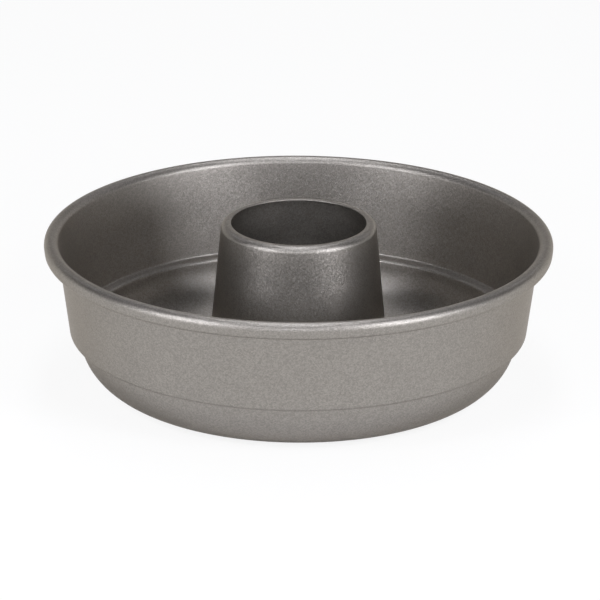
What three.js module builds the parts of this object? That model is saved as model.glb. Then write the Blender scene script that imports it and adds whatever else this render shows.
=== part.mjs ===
// Ring cake pan: a drawn sheet shell with a stepped wall and a rolled rim, a drawn centre tube hooked into the
// floor by a flat lock seam, and a wire hoop inside the rolled rim.
// Millimetres, +Z up. The pan rests on z = 0 and its axis is the Z axis.
// Every piece is a turned section: r is the distance from the axis and z the height.
// Radii and bends of sheet are those of the middle of the sheet, unless a name says inner or outer.
import * as THREE from "three";

// Sheet and fits
const SHEET = 0.7; // thickness of the sheet of the shell and of the tube
const FIT_GAP = 0.3; // air between two pieces that are folded or rolled together

// Facets
const FLATS_AROUND = 48; // flats around the axis
const ARC_SAG = 0.09; // farthest that a flat lies inside the arc of a bend
const WIRE_SIDES = 12; // flats around the wire
const POINTS_APART = 1e-4; // points nearer than this are one point

// Rolled rim
const RIM_OUTER_RADIUS = 130;
const RIM_HEIGHT = 77.5; // crest of the rim above the table
const RIM_WIRE_DIAMETER = 5.4;
const RIM_FACE_LEAN = THREE.MathUtils.degToRad(6); // the outer face leans in towards its lower edge
const RIM_SLACK = 0.8; // extra room under the wire
const RIM_TUCK_BEND = 1.6; // bend at the lower edge of the rim

// Wall with its shoulder
const SHOULDER_RADIUS = 116.8; // where the upper wall meets the shoulder
const SHOULDER_HEIGHT = 27.65;
const SHOULDER_WIDTH = 4.5;
const SHOULDER_FALL = 1; // the shoulder slopes down towards the middle by this much
const SHOULDER_BEND = 1.6;
const LOWER_DRAFT = THREE.MathUtils.degToRad(7.5); // lean of the lower wall
const FLOOR_BEND = 27.15; // large round between the lower wall and the floor

// Centre tube
const TUBE_FOOT_RADIUS = 47.15; // where the tube's wall would meet the table
const TUBE_TOP_RADIUS = 39.2; // at the top edge, before it is rounded
const TUBE_HEIGHT = 84.8;
const TUBE_LIP = 4.3; // the top turns in by this much, which leaves the hole
const TUBE_TOP_BEND = 3.2;
const TUBE_FOOT_BEND = 1.3;

// Lock seam between the tube and the floor
const SEAM_LIFT = 0.5; // the seam stays this far above the table
const SEAM_WIDTH = 4; // length of the floor's folded edge
const SEAM_RISE_RUN = 4; // the floor climbs to the seam over this run
const SEAM_RISE_BEND = 2;

const HALF_SHEET = SHEET / 2;
const PLY_PITCH = SHEET + FIT_GAP; // from one ply of the seam to the next
const RIM_BEND = RIM_WIRE_DIAMETER / 2 + FIT_GAP + HALF_SHEET;
const WIRE_RADIUS_FROM_AXIS = RIM_OUTER_RADIUS - HALF_SHEET - RIM_BEND;
const WIRE_HEIGHT = RIM_HEIGHT - HALF_SHEET - RIM_BEND;

// Heights of the seam's four plies, from the table up
const FLANGE_HEIGHT = SEAM_LIFT + HALF_SHEET; // foot of the tube, turned out
const FOLD_HEIGHT = FLANGE_HEIGHT + PLY_PITCH; // edge of the floor, folded under
const HOOK_HEIGHT = FOLD_HEIGHT + PLY_PITCH; // edge of the tube's foot, hooked back into that fold
const SEAM_TOP_HEIGHT = HOOK_HEIGHT + PLY_PITCH; // floor around the tube

// Middle line of the tube's wall, as a distance from the axis at a height
function tubeRadiusAt(z) {
  const share = z / (TUBE_HEIGHT - HALF_SHEET);
  return THREE.MathUtils.lerp(TUBE_FOOT_RADIUS, TUBE_TOP_RADIUS, share);
}

// Where r and z are both 0
const AXIS_POINT = new THREE.Vector2();

// A corner of a sheet's middle line. A bend of 0 leaves it sharp.
function corner(r, z, bend = 0) {
  return { at: new THREE.Vector2(r, z), bend };
}

// The points of a middle line, with an arc in place of each corner that has a bend
function roundedPath(corners) {
  const points = [];
  corners.forEach((here, i) => {
    if (here.bend === 0) {
      points.push(here.at);
      return;
    }
    const back = corners[i - 1].at.clone().sub(here.at).normalize();
    const ahead = corners[i + 1].at.clone().sub(here.at).normalize();
    const halfAngle = back.angleTo(ahead) / 2;
    const reach = here.bend / Math.tan(halfAngle);
    const inward = back.clone().add(ahead).normalize();
    const centre = here.at.clone().addScaledVector(inward, here.bend / Math.sin(halfAngle));
    const first = here.at.clone().addScaledVector(back, reach).sub(centre);
    const turn = Math.sign(back.cross(ahead)) * (2 * halfAngle - Math.PI);
    const steps = Math.ceil(Math.abs(turn) / (2 * Math.acos(1 - ARC_SAG / here.bend)));
    for (let step = 0; step <= steps; step += 1) {
      const swung = first.clone().rotateAround(AXIS_POINT, (turn * step) / steps);
      points.push(swung.add(centre));
    }
  });
  return points.filter((point, i) => i === 0 || point.distanceTo(points[i - 1]) > POINTS_APART);
}

// One face of a sheet, at a distance to the left of its middle line
function offsetPath(points, distance) {
  return points.map((point, i) => {
    const before = points[Math.max(i - 1, 0)];
    const after = points[Math.min(i + 1, points.length - 1)];
    const along = point.clone().sub(before).normalize();
    const onward = after.clone().sub(point).normalize();
    const mean = along.clone().add(onward).normalize();
    const left = new THREE.Vector2(-mean.y, mean.x);
    const reference = i === 0 ? onward : along;
    const stretch = Math.abs(mean.dot(reference));
    return point.clone().addScaledVector(left, distance / stretch);
  });
}

// A closed outline turned about the Z axis
function turned(outline) {
  const closed = [...outline, outline[0].clone()];
  const geometry = new THREE.LatheGeometry(closed, FLATS_AROUND);
  geometry.rotateX(Math.PI / 2);
  return geometry;
}

// A piece of sheet turned about the Z axis, from the corners of its middle line
function turnedSheet(corners) {
  const middle = roundedPath(corners);
  const leftFace = offsetPath(middle, HALF_SHEET);
  const rightFace = offsetPath(middle, -HALF_SHEET);
  return turned([...rightFace, ...leftFace.reverse()]);
}

// Seam: the floor's edge folds down and back, and the tube's flange hooks up into that fold.
const floorFoldRadius = tubeRadiusAt(FOLD_HEIGHT) + SHEET + FIT_GAP;
const floorFoldEnd = floorFoldRadius + SEAM_WIDTH;
const tubeHookRadius = floorFoldEnd + HALF_SHEET + 2 * FIT_GAP;
const riseTopRadius = tubeHookRadius + HALF_SHEET + FIT_GAP + SEAM_RISE_BEND;

// Rim: the upper wall runs from the shoulder to touch the roll around the wire.
const toWire = new THREE.Vector2(
  WIRE_RADIUS_FROM_AXIS - SHOULDER_RADIUS,
  WIRE_HEIGHT - SHOULDER_HEIGHT,
);
const wallDraft = Math.atan2(toWire.x, toWire.y) - Math.asin(RIM_BEND / toWire.length());
const rimTop = RIM_HEIGHT - HALF_SHEET;
const rimInnerCorner = WIRE_RADIUS_FROM_AXIS - RIM_BEND * Math.tan((Math.PI / 2 - wallDraft) / 2);
const rimOuterCorner = WIRE_RADIUS_FROM_AXIS + RIM_BEND * Math.tan((Math.PI / 2 + RIM_FACE_LEAN) / 2);
const rimBottom = WIRE_HEIGHT - RIM_BEND - RIM_SLACK;
const rimLowerCorner = rimOuterCorner - (rimTop - rimBottom) * Math.tan(RIM_FACE_LEAN);

// Lower wall and floor
const lowerTopRadius = SHOULDER_RADIUS - SHOULDER_WIDTH;
const lowerTopHeight = SHOULDER_HEIGHT - SHOULDER_FALL;
const floorCorner = lowerTopRadius - (lowerTopHeight - HALF_SHEET) * Math.tan(LOWER_DRAFT);
const lowerWallLength = (lowerTopHeight - HALF_SHEET) / Math.cos(LOWER_DRAFT);
const floorTurn = Math.PI / 2 - LOWER_DRAFT;
const floorBendRoom = (lowerWallLength - SHOULDER_BEND) / Math.tan(floorTurn / 2);
const floorBend = Math.min(FLOOR_BEND, floorBendRoom);

const shellGeometry = turnedSheet([
  corner(floorFoldEnd, FOLD_HEIGHT),
  corner(floorFoldRadius, FOLD_HEIGHT, PLY_PITCH),
  corner(floorFoldRadius, SEAM_TOP_HEIGHT, PLY_PITCH),
  corner(riseTopRadius, SEAM_TOP_HEIGHT, SEAM_RISE_BEND),
  corner(riseTopRadius + SEAM_RISE_RUN, HALF_SHEET, SEAM_RISE_BEND),
  corner(floorCorner, HALF_SHEET, floorBend),
  corner(lowerTopRadius, lowerTopHeight, SHOULDER_BEND),
  corner(SHOULDER_RADIUS, SHOULDER_HEIGHT, SHOULDER_BEND),
  corner(rimInnerCorner, rimTop, RIM_BEND),
  corner(rimOuterCorner, rimTop, RIM_BEND),
  corner(rimLowerCorner, rimBottom, RIM_TUCK_BEND),
  corner(WIRE_RADIUS_FROM_AXIS, rimBottom),
]);

// Tube: from the hooked edge of its foot up to the edge of its hole
const tubeGeometry = turnedSheet([
  corner(floorFoldRadius + PLY_PITCH + FIT_GAP, HOOK_HEIGHT),
  corner(tubeHookRadius, HOOK_HEIGHT, PLY_PITCH),
  corner(tubeHookRadius, FLANGE_HEIGHT, PLY_PITCH),
  corner(tubeRadiusAt(FLANGE_HEIGHT), FLANGE_HEIGHT, TUBE_FOOT_BEND),
  corner(TUBE_TOP_RADIUS, TUBE_HEIGHT - HALF_SHEET, TUBE_TOP_BEND),
  corner(TUBE_TOP_RADIUS - TUBE_LIP, TUBE_HEIGHT - HALF_SHEET),
]);

// Wire hoop: a round section turned about the axis
const wireOutline = Array.from({ length: WIRE_SIDES }, (unused, i) => {
  const angle = (2 * Math.PI * i) / WIRE_SIDES;
  const radius = RIM_WIRE_DIAMETER / 2;
  return new THREE.Vector2(
    WIRE_RADIUS_FROM_AXIS + radius * Math.cos(angle),
    WIRE_HEIGHT + radius * Math.sin(angle),
  );
});
const wireGeometry = turned(wireOutline);

const coating = new THREE.MeshStandardMaterial({ color: 0x8b857c, metalness: 0.7, roughness: 0.4 });
const wireSteel = new THREE.MeshStandardMaterial({ color: 0x9a9da0, metalness: 1, roughness: 0.35 });

const pan = new THREE.Group();
function addPiece(name, geometry, material) {
  const mesh = new THREE.Mesh(geometry, material);
  mesh.name = name;
  pan.add(mesh);
}
addPiece("pan_shell", shellGeometry, coating);
addPiece("centre_tube", tubeGeometry, coating);
addPiece("rim_wire", wireGeometry, wireSteel);

export default pan;
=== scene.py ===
"""Ring cake pan with a metallic non-stick coating, in a plain pale studio.

Metres, +Z up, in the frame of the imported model. Each piece is a section turned about the Z axis: r is
the distance from the axis and z the height. Radii and bends of sheet are those of the sheet's middle.
"""

import math

import bpy
from mathutils import Matrix, Vector


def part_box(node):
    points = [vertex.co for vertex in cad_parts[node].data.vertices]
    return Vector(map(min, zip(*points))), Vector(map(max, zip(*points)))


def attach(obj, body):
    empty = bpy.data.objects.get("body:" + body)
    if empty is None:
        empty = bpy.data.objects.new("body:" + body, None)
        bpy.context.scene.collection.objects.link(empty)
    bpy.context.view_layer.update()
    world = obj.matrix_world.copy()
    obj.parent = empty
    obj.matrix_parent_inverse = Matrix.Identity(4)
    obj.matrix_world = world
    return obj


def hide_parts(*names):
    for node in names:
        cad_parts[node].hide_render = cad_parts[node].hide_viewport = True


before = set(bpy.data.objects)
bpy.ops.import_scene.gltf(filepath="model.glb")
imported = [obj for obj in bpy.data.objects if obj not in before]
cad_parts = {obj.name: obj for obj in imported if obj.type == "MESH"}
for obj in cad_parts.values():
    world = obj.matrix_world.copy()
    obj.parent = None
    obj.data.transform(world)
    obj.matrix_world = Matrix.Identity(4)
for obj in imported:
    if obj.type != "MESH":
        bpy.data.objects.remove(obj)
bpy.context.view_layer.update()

MM = 0.001

# Sizes that the frame gives
_, shell_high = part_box("pan_shell")
tube_low, tube_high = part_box("centre_tube")
wire_low, wire_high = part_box("rim_wire")
RIM_OUTER_RADIUS = shell_high.x
RIM_HEIGHT = shell_high.z
TUBE_HEIGHT = tube_high.z
WIRE_DIAMETER = wire_high.z - wire_low.z
SEAM_LIFT = tube_low.z

# Sheet and fits
SHEET = 0.7 * MM
FIT_GAP = 0.3 * MM

# Rolled rim
RIM_FACE_LEAN = math.radians(6)
RIM_SLACK = 0.8 * MM
RIM_TUCK_BEND = 1.6 * MM

# Wall with its shoulder
SHOULDER_RADIUS = 116.8 * MM
SHOULDER_HEIGHT = 27.65 * MM
SHOULDER_WIDTH = 4.5 * MM
SHOULDER_FALL = 1 * MM
SHOULDER_BEND = 1.6 * MM
LOWER_DRAFT = math.radians(7.5)
FLOOR_BEND = 27.15 * MM

# Centre tube
TUBE_FOOT_RADIUS = 47.15 * MM
TUBE_TOP_RADIUS = 39.2 * MM
TUBE_LIP = 4.3 * MM
TUBE_TOP_BEND = 3.2 * MM
TUBE_FOOT_BEND = 1.3 * MM

# Lock seam between the tube and the floor
SEAM_WIDTH = 4 * MM
SEAM_RISE_RUN = 4 * MM
SEAM_RISE_BEND = 2 * MM

# Fineness of the turned meshes
TURN_STEPS = 288
ARC_SAG = 0.006 * MM
RUN_STEP = 4 * MM
POINTS_APART = 0.001 * MM
CAP_STEPS = 6
WIRE_STEPS = 24

# Coating: scales are cells or waves per metre, tilts are lengths added to the unit normal
COATING_COLOUR = (0.272, 0.252, 0.228)
COATING_EDGE_TINT = (0.58, 0.52, 0.45, 1)
COATING_ROUGHNESS = 0.42
COAT_WEIGHT = 0.35
COAT_IOR = 2.0
COAT_ROUGHNESS = 0.38
PEEL_SCALE = 900.0
PEEL_DETAIL = 3.0
PEEL_STRENGTH = 0.25
PEEL_DEPTH = 0.02 * MM
COARSE_FLAKE_SCALE = 1600.0
COARSE_FLAKE_TILT = 0.03
COARSE_FLAKE_TONES = (0.82, 1.18)
FINE_FLAKE_SCALE = 6500.0
FINE_FLAKE_TILT = 0.3
CLOUD_SCALE = 30.0
CLOUD_DETAIL = 2.0
CLOUD_TONES = (0.96, 1.04)

# Steel of the wire
STEEL_COLOUR = (0.55, 0.56, 0.57, 1)
STEEL_GRAIN_SCALE = 400.0
STEEL_GRAIN_DETAIL = 4.0
STEEL_ROUGHNESS = (0.28, 0.45)

# Floor: plain white from the open edge out, fading towards the pan as a painted shadow of it, and only
# its own lit shading inside the shadow edge
FLOOR_HALF_SIDE = 4.0
FLOOR_DROP = 0.0001
FLOOR_COLOUR = (0.9, 0.9, 0.9, 1)
WHITE = (1, 1, 1, 1)
# Edges of the painted shadow round the pan, as the camera sees the floor
SEEN_PAINTED_SHADOW_EDGE = 0.05
SEEN_OPEN_EDGE = 0.1
SEEN_WHITE_SHARE = 0.9
# Edges of the painted shadow round the pan, wider where the metal mirrors the floor
MIRRORED_PAINTED_SHADOW_EDGE = 0.09
MIRRORED_OPEN_EDGE = 0.17
MIRRORED_WHITE_SHARE = 0.85

# Backdrop and room: heights are sines of the elevation
BACKDROP_STRENGTH = 1.0
BACKDROP_TOP = math.sin(math.radians(4))
BACKDROP_RISE = 0.2
ROOM_STRENGTH = 0.015
ROOM_BOTTOM = math.sin(math.radians(10))

# Lamps
LAMP_COLOUR = (0.93, 0.945, 1.0)
LAMP_DISTANCE = 1.3

# Camera: the sensor and the lens are in millimetres
CAMERA_PITCH = math.radians(20.394)
CAMERA_YAW = math.radians(0.02)
CAMERA_ROLL = math.radians(-0.3)
CAMERA_PLACE = (0, -2.4042, 0.9362)
CAMERA_SENSOR = 36
CAMERA_LENS = 300

# Sizes that follow from these
HALF_SHEET = SHEET / 2
PLY_PITCH = SHEET + FIT_GAP
RIM_BEND = WIRE_DIAMETER / 2 + FIT_GAP + HALF_SHEET
WIRE_RADIUS_FROM_AXIS = RIM_OUTER_RADIUS - HALF_SHEET - RIM_BEND
WIRE_HEIGHT = RIM_HEIGHT - HALF_SHEET - RIM_BEND
FLANGE_HEIGHT = SEAM_LIFT + HALF_SHEET
FOLD_HEIGHT = FLANGE_HEIGHT + PLY_PITCH
HOOK_HEIGHT = FOLD_HEIGHT + PLY_PITCH
SEAM_TOP_HEIGHT = HOOK_HEIGHT + PLY_PITCH


def tube_radius_at(z):
    """Middle of the tube's wall, as a distance from the axis."""
    share = z / (TUBE_HEIGHT - HALF_SHEET)
    return TUBE_FOOT_RADIUS + (TUBE_TOP_RADIUS - TUBE_FOOT_RADIUS) * share


FLOOR_FOLD_RADIUS = tube_radius_at(FOLD_HEIGHT) + SHEET + FIT_GAP
TUBE_HOOK_RADIUS = FLOOR_FOLD_RADIUS + SEAM_WIDTH + HALF_SHEET + 2 * FIT_GAP


def rounded_path(corners):
    """Points of a middle line from (r, z, bend) corners. A corner with a bend becomes an arc."""
    points = []
    for i, (r, z, bend) in enumerate(corners):
        here = Vector((r, z))
        if bend == 0:
            points.append(here)
            continue
        back = (Vector(corners[i - 1][:2]) - here).normalized()
        ahead = (Vector(corners[i + 1][:2]) - here).normalized()
        half_angle = back.angle(ahead) / 2
        inward = (back + ahead).normalized()
        centre = here + inward * (bend / math.sin(half_angle))
        first = here + back * (bend / math.tan(half_angle)) - centre
        side = math.copysign(1, back.x * ahead.y - back.y * ahead.x)
        turn = side * (2 * half_angle - math.pi)
        steps = math.ceil(abs(turn) / (2 * math.acos(1 - ARC_SAG / bend)))
        for step in range(steps + 1):
            points.append(centre + Matrix.Rotation(turn * step / steps, 2) @ first)
    return spaced(points)


def spaced(points):
    """The same line with no doubled points and with no run longer than RUN_STEP."""
    line = [points[0]]
    for point in points[1:]:
        run = point - line[-1]
        if run.length < POINTS_APART:
            continue
        start = line[-1]
        parts = math.ceil(run.length / RUN_STEP)
        line.extend(start + run * (part / parts) for part in range(1, parts + 1))
    return line


def sheet_outline(corners):
    """Closed section of a sheet along a middle line, with rounded cut edges."""
    middle = rounded_path(corners)
    last = len(middle) - 1
    ways = []
    for i in range(last + 1):
        way = middle[min(i + 1, last)] - middle[max(i - 1, 0)]
        ways.append(way.normalized())
    left = [Vector((-way.y, way.x)) for way in ways]
    right_face = [point - side * HALF_SHEET for point, side in zip(middle, left)]
    left_face = [point + side * HALF_SHEET for point, side in zip(middle, left)]
    end_edge = cut_edge(middle[-1], -left[-1])
    start_edge = cut_edge(middle[0], left[0])
    return right_face + end_edge + left_face[::-1] + start_edge


def cut_edge(end, side):
    """Points of the half round at an end of a sheet, between its two faces."""
    points = []
    for step in range(1, CAP_STEPS):
        swing = Matrix.Rotation(math.pi * step / CAP_STEPS, 2)
        points.append(end + swing @ side * HALF_SHEET)
    return points


def shell_outline():
    """Section of the shell, from the edge folded under the floor to the edge tucked under the wire."""
    to_wire = Vector((WIRE_RADIUS_FROM_AXIS - SHOULDER_RADIUS, WIRE_HEIGHT - SHOULDER_HEIGHT))
    wall_draft = math.atan2(to_wire.x, to_wire.y) - math.asin(RIM_BEND / to_wire.length)
    rim_top = RIM_HEIGHT - HALF_SHEET
    rim_inner = WIRE_RADIUS_FROM_AXIS - RIM_BEND * math.tan((math.pi / 2 - wall_draft) / 2)
    rim_outer = WIRE_RADIUS_FROM_AXIS + RIM_BEND * math.tan((math.pi / 2 + RIM_FACE_LEAN) / 2)
    rim_bottom = WIRE_HEIGHT - RIM_BEND - RIM_SLACK
    rim_lower = rim_outer - (rim_top - rim_bottom) * math.tan(RIM_FACE_LEAN)
    lower_top_radius = SHOULDER_RADIUS - SHOULDER_WIDTH
    lower_top_height = SHOULDER_HEIGHT - SHOULDER_FALL
    floor_corner = lower_top_radius - (lower_top_height - HALF_SHEET) * math.tan(LOWER_DRAFT)
    rise_top = TUBE_HOOK_RADIUS + HALF_SHEET + FIT_GAP + SEAM_RISE_BEND
    return sheet_outline([
        (FLOOR_FOLD_RADIUS + SEAM_WIDTH, FOLD_HEIGHT, 0),
        (FLOOR_FOLD_RADIUS, FOLD_HEIGHT, PLY_PITCH),
        (FLOOR_FOLD_RADIUS, SEAM_TOP_HEIGHT, PLY_PITCH),
        (rise_top, SEAM_TOP_HEIGHT, SEAM_RISE_BEND),
        (rise_top + SEAM_RISE_RUN, HALF_SHEET, SEAM_RISE_BEND),
        (floor_corner, HALF_SHEET, FLOOR_BEND),
        (lower_top_radius, lower_top_height, SHOULDER_BEND),
        (SHOULDER_RADIUS, SHOULDER_HEIGHT, SHOULDER_BEND),
        (rim_inner, rim_top, RIM_BEND),
        (rim_outer, rim_top, RIM_BEND),
        (rim_lower, rim_bottom, RIM_TUCK_BEND),
        (WIRE_RADIUS_FROM_AXIS, rim_bottom, 0),
    ])


def tube_outline():
    """Section of the tube, from the hooked edge of its foot to the edge of its hole."""
    return sheet_outline([
        (FLOOR_FOLD_RADIUS + PLY_PITCH + FIT_GAP, HOOK_HEIGHT, 0),
        (TUBE_HOOK_RADIUS, HOOK_HEIGHT, PLY_PITCH),
        (TUBE_HOOK_RADIUS, FLANGE_HEIGHT, PLY_PITCH),
        (tube_radius_at(FLANGE_HEIGHT), FLANGE_HEIGHT, TUBE_FOOT_BEND),
        (TUBE_TOP_RADIUS, TUBE_HEIGHT - HALF_SHEET, TUBE_TOP_BEND),
        (TUBE_TOP_RADIUS - TUBE_LIP, TUBE_HEIGHT - HALF_SHEET, 0),
    ])


def wire_outline():
    """Round section of the rim's wire."""
    points = []
    for step in range(WIRE_STEPS):
        angle = 2 * math.pi * step / WIRE_STEPS
        spoke = Vector((math.cos(angle), math.sin(angle))) * (WIRE_DIAMETER / 2)
        points.append(Vector((WIRE_RADIUS_FROM_AXIS, WIRE_HEIGHT)) + spoke)
    return points


def turned(name, outline):
    """A mesh object: a closed outline turned about the Z axis."""
    count = len(outline)
    vertices = []
    for step in range(TURN_STEPS):
        angle = 2 * math.pi * step / TURN_STEPS
        cosine, sine = math.cos(angle), math.sin(angle)
        vertices.extend((point.x * cosine, point.x * sine, point.y) for point in outline)
    faces = []
    for step in range(TURN_STEPS):
        here = step * count
        there = (step + 1) % TURN_STEPS * count
        for i in range(count):
            after = (i + 1) % count
            faces.append((here + i, there + i, there + after, here + after))
    mesh = bpy.data.meshes.new(name)
    mesh.from_pydata(vertices, [], faces)
    mesh.shade_smooth()
    piece = bpy.data.objects.new(name, mesh)
    bpy.context.scene.collection.objects.link(piece)
    return piece


def add_piece(node, outline, material):
    """A turned piece that stands for a node of the frame."""
    piece = turned(node + "_fine", outline)
    piece.data.materials.append(material)
    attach(piece, "root")
    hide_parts(node)


class Nodes:
    """Short calls for building the node tree of a material or of the world."""

    def __init__(self, owner):
        owner.use_nodes = True
        self.tree = owner.node_tree
        self.tree.nodes.clear()

    def add(self, kind, **values):
        node = self.tree.nodes.new(kind)
        for key, value in values.items():
            if key in node.inputs:
                node.inputs[key].default_value = value
            else:
                setattr(node, key, value)
        return node

    def link(self, output, target):
        self.tree.links.new(output, target)


def remap(nodes, value, low, high):
    """Carries a 0 to 1 value to the range from low to high."""
    node = nodes.add("ShaderNodeMapRange")
    node.inputs["To Min"].default_value = low
    node.inputs["To Max"].default_value = high
    nodes.link(value, node.inputs["Value"])
    return node.outputs["Result"]


def add_noise(nodes, place, scale, detail):
    """Smooth noise from 0 to 1."""
    noise = nodes.add("ShaderNodeTexNoise", Scale=scale, Detail=detail)
    nodes.link(place, noise.inputs["Vector"])
    return noise.outputs["Fac"]


def add_flakes(nodes, place, scale, tilt, normal):
    """Flat flakes of random tilt. Returns their random colour and the normal tilted flake by flake."""
    flakes = nodes.add("ShaderNodeTexVoronoi", Scale=scale)
    nodes.link(place, flakes.inputs["Vector"])
    lean = nodes.add("ShaderNodeVectorMath", operation="MULTIPLY_ADD")
    nodes.link(flakes.outputs["Color"], lean.inputs[0])
    lean.inputs[1].default_value = (tilt, tilt, tilt)
    lean.inputs[2].default_value = (-tilt / 2, -tilt / 2, -tilt / 2)
    tilted = nodes.add("ShaderNodeVectorMath", operation="ADD")
    nodes.link(normal, tilted.inputs[0])
    nodes.link(lean.outputs["Vector"], tilted.inputs[1])
    return flakes.outputs["Color"], tilted.outputs["Vector"]


def coating_material():
    """Champagne-grey metallic coating: flakes, a thin clear coat, orange peel and slight clouding."""
    material = bpy.data.materials.new("champagne_coating")
    nodes = Nodes(material)
    place = nodes.add("ShaderNodeTexCoord").outputs["Object"]
    shader = nodes.add("ShaderNodeBsdfPrincipled", Metallic=1.0, Roughness=COATING_ROUGHNESS)
    shader.inputs["Coat Weight"].default_value = COAT_WEIGHT
    shader.inputs["Coat IOR"].default_value = COAT_IOR
    shader.inputs["Coat Roughness"].default_value = COAT_ROUGHNESS
    shader.inputs["Specular Tint"].default_value = COATING_EDGE_TINT

    peel = add_noise(nodes, place, PEEL_SCALE, PEEL_DETAIL)
    bump = nodes.add("ShaderNodeBump", Strength=PEEL_STRENGTH, Distance=PEEL_DEPTH)
    nodes.link(peel, bump.inputs["Height"])
    normal = bump.outputs["Normal"]
    flake_colour, normal = add_flakes(nodes, place, COARSE_FLAKE_SCALE, COARSE_FLAKE_TILT, normal)
    _, normal = add_flakes(nodes, place, FINE_FLAKE_SCALE, FINE_FLAKE_TILT, normal)
    unit = nodes.add("ShaderNodeVectorMath", operation="NORMALIZE")
    nodes.link(normal, unit.inputs[0])
    nodes.link(unit.outputs["Vector"], shader.inputs["Normal"])

    flake_parts = nodes.add("ShaderNodeSeparateColor")
    nodes.link(flake_colour, flake_parts.inputs["Color"])
    clouds = add_noise(nodes, place, CLOUD_SCALE, CLOUD_DETAIL)
    tone = nodes.add("ShaderNodeMath", operation="MULTIPLY")
    nodes.link(remap(nodes, flake_parts.outputs["Red"], *COARSE_FLAKE_TONES), tone.inputs[0])
    nodes.link(remap(nodes, clouds, *CLOUD_TONES), tone.inputs[1])
    colour = nodes.add("ShaderNodeVectorMath", operation="SCALE")
    colour.inputs[0].default_value = COATING_COLOUR
    nodes.link(tone.outputs["Value"], colour.inputs["Scale"])
    nodes.link(colour.outputs["Vector"], shader.inputs["Base Color"])

    output = nodes.add("ShaderNodeOutputMaterial")
    nodes.link(shader.outputs["BSDF"], output.inputs["Surface"])
    return material


def wire_material():
    """Drawn steel wire, a little uneven in its shine."""
    material = bpy.data.materials.new("drawn_wire")
    nodes = Nodes(material)
    place = nodes.add("ShaderNodeTexCoord").outputs["Object"]
    shader = nodes.add("ShaderNodeBsdfPrincipled", Metallic=1.0)
    shader.inputs["Base Color"].default_value = STEEL_COLOUR
    grain = add_noise(nodes, place, STEEL_GRAIN_SCALE, STEEL_GRAIN_DETAIL)
    nodes.link(remap(nodes, grain, *STEEL_ROUGHNESS), shader.inputs["Roughness"])
    output = nodes.add("ShaderNodeOutputMaterial")
    nodes.link(shader.outputs["BSDF"], output.inputs["Surface"])
    return material


def white_share(nodes, ray, from_axis, painted_shadow_edge, open_edge, most):
    """Share of white for one kind of ray: a painted shadow round the pan, 0 inside its edge, most beyond
    the open edge.
    """
    outside_painted_shadow = nodes.add("ShaderNodeMapRange", interpolation_type="SMOOTHSTEP")
    outside_painted_shadow.inputs["From Min"].default_value = painted_shadow_edge
    outside_painted_shadow.inputs["From Max"].default_value = open_edge
    outside_painted_shadow.inputs["To Max"].default_value = most
    nodes.link(from_axis, outside_painted_shadow.inputs["Value"])
    share = nodes.add("ShaderNodeMath", operation="MULTIPLY")
    nodes.link(ray, share.inputs[0])
    nodes.link(outside_painted_shadow.outputs["Result"], share.inputs[1])
    return share.outputs["Value"]


def floor_material():
    """Pale floor that shows white, fading to its own lit shading under and near the pan: a painted
    shadow of the pan.
    """
    material = bpy.data.materials.new("studio_floor")
    nodes = Nodes(material)
    place = nodes.add("ShaderNodeTexCoord").outputs["Object"]
    radius = nodes.add("ShaderNodeVectorMath", operation="LENGTH")
    nodes.link(place, radius.inputs[0])
    from_axis = radius.outputs["Value"]
    path = nodes.add("ShaderNodeLightPath")
    seen_ray = path.outputs["Is Camera Ray"]
    mirrored = nodes.add("ShaderNodeMath", operation="ADD", use_clamp=True)
    nodes.link(path.outputs["Is Glossy Ray"], mirrored.inputs[0])
    nodes.link(path.outputs["Is Transmission Ray"], mirrored.inputs[1])
    mirrored_ray = mirrored.outputs["Value"]
    # The white fades out round the pan as a painted shadow, wider in what the metal mirrors
    seen = white_share(nodes, seen_ray, from_axis, SEEN_PAINTED_SHADOW_EDGE, SEEN_OPEN_EDGE, SEEN_WHITE_SHARE)
    reflected = white_share(
        nodes, mirrored_ray, from_axis, MIRRORED_PAINTED_SHADOW_EDGE, MIRRORED_OPEN_EDGE, MIRRORED_WHITE_SHARE)
    share = nodes.add("ShaderNodeMath", operation="ADD", use_clamp=True)
    nodes.link(seen, share.inputs[0])
    nodes.link(reflected, share.inputs[1])
    matte = nodes.add("ShaderNodeBsdfDiffuse", Color=FLOOR_COLOUR)
    glow = nodes.add("ShaderNodeEmission", Color=WHITE, Strength=1.0)
    mix = nodes.add("ShaderNodeMixShader")
    nodes.link(share.outputs["Value"], mix.inputs["Fac"])
    nodes.link(matte.outputs["BSDF"], mix.inputs[1])
    nodes.link(glow.outputs["Emission"], mix.inputs[2])
    output = nodes.add("ShaderNodeOutputMaterial")
    nodes.link(mix.outputs["Shader"], output.inputs["Surface"])
    return material


def add_floor():
    """A wide flat floor just under the pan."""
    half = FLOOR_HALF_SIDE
    corners = [(-half, -half), (half, -half), (half, half), (-half, half)]
    mesh = bpy.data.meshes.new("studio_floor")
    mesh.from_pydata([(x, y, -FLOOR_DROP) for x, y in corners], [], [(0, 1, 2, 3)])
    floor = bpy.data.objects.new("studio_floor", mesh)
    floor.data.materials.append(floor_material())
    bpy.context.scene.collection.objects.link(floor)


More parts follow.
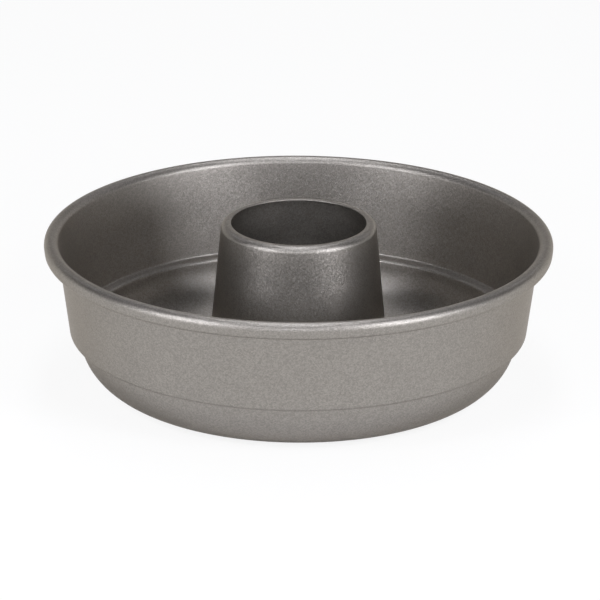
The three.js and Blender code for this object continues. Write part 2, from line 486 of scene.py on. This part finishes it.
def add_world():
    """Dim room with a white backdrop low on the horizon, which rises behind the pan."""
    world = bpy.data.worlds.new("studio")
    nodes = Nodes(world)
    way = nodes.add("ShaderNodeTexCoord").outputs["Generated"]
    parts = nodes.add("ShaderNodeSeparateXYZ")
    nodes.link(way, parts.inputs["Vector"])
    rise = remap(nodes, parts.outputs["Y"], 0.0, BACKDROP_RISE)
    height = nodes.add("ShaderNodeMath", operation="SUBTRACT")
    nodes.link(parts.outputs["Z"], height.inputs[0])
    nodes.link(rise, height.inputs[1])
    strength = nodes.add("ShaderNodeMapRange", interpolation_type="SMOOTHSTEP")
    strength.inputs["From Min"].default_value = BACKDROP_TOP
    strength.inputs["From Max"].default_value = ROOM_BOTTOM
    strength.inputs["To Min"].default_value = BACKDROP_STRENGTH
    strength.inputs["To Max"].default_value = ROOM_STRENGTH
    nodes.link(height.outputs["Value"], strength.inputs["Value"])
    background = nodes.add("ShaderNodeBackground", Color=WHITE)
    nodes.link(strength.outputs["Result"], background.inputs["Strength"])
    output = nodes.add("ShaderNodeOutputWorld")
    nodes.link(background.outputs["Background"], output.inputs["Surface"])
    bpy.context.scene.world = world


def add_softbox(name, azimuth, elevation, width, height, power):
    """A rectangular lamp that faces the pan. Azimuth is from the front to the right, in degrees."""
    lamp = bpy.data.lights.new(name, "AREA")
    lamp.shape = "RECTANGLE"
    lamp.size = width
    lamp.size_y = height
    lamp.energy = power
    lamp.color = LAMP_COLOUR
    holder = bpy.data.objects.new(name, lamp)
    a, e = math.radians(azimuth), math.radians(elevation)
    way = Vector((math.sin(a) * math.cos(e), -math.cos(a) * math.cos(e), math.sin(e)))
    target = Vector((0, 0, RIM_HEIGHT / 2))
    holder.location = target + way * LAMP_DISTANCE
    holder.rotation_euler = (-way).to_track_quat("-Z", "Y").to_euler()
    bpy.context.scene.collection.objects.link(holder)


def add_camera():
    """The camera of the photograph: a long lens, about 20 degrees above the table."""
    flat = math.cos(CAMERA_PITCH)
    forward = Vector((math.sin(CAMERA_YAW) * flat, math.cos(CAMERA_YAW) * flat, -math.sin(CAMERA_PITCH)))
    level = Vector((math.cos(CAMERA_YAW), -math.sin(CAMERA_YAW), 0))
    down = forward.cross(level)
    right = level * math.cos(CAMERA_ROLL) + down * math.sin(CAMERA_ROLL)
    up = level * math.sin(CAMERA_ROLL) - down * math.cos(CAMERA_ROLL)
    data = bpy.data.cameras.new("camera")
    data.sensor_width = CAMERA_SENSOR
    data.lens = CAMERA_LENS
    camera = bpy.data.objects.new("camera", data)
    turn = Matrix((right, up, -forward)).transposed()
    camera.matrix_world = Matrix.Translation(CAMERA_PLACE) @ turn.to_4x4()
    bpy.context.scene.collection.objects.link(camera)
    bpy.context.scene.camera = camera


coating = coating_material()
add_piece("pan_shell", shell_outline(), coating)
add_piece("centre_tube", tube_outline(), coating)
add_piece("rim_wire", wire_outline(), wire_material())

add_floor()
add_world()
add_softbox("key_left", azimuth=-48, elevation=16, width=0.6, height=0.24, power=5.2)
add_softbox("key_right", azimuth=49, elevation=16, width=0.6, height=0.24, power=7.2)
add_softbox("high_left", azimuth=-48, elevation=39, width=0.3, height=0.34, power=4.8)
add_softbox("high_right", azimuth=44, elevation=39, width=0.3, height=0.34, power=5.2)
add_softbox("back_left", azimuth=-135, elevation=38, width=0.4, height=0.3, power=0.6)
add_softbox("back_right", azimuth=135, elevation=36, width=0.4, height=0.3, power=0.7)
add_softbox("front_fill", azimuth=0, elevation=22, width=0.3, height=0.34, power=3)
add_softbox("top_strip", azimuth=180, elevation=83, width=0.28, height=1.7, power=9.5)
add_camera()
bpy.context.scene.view_settings.view_transform = "Standard"
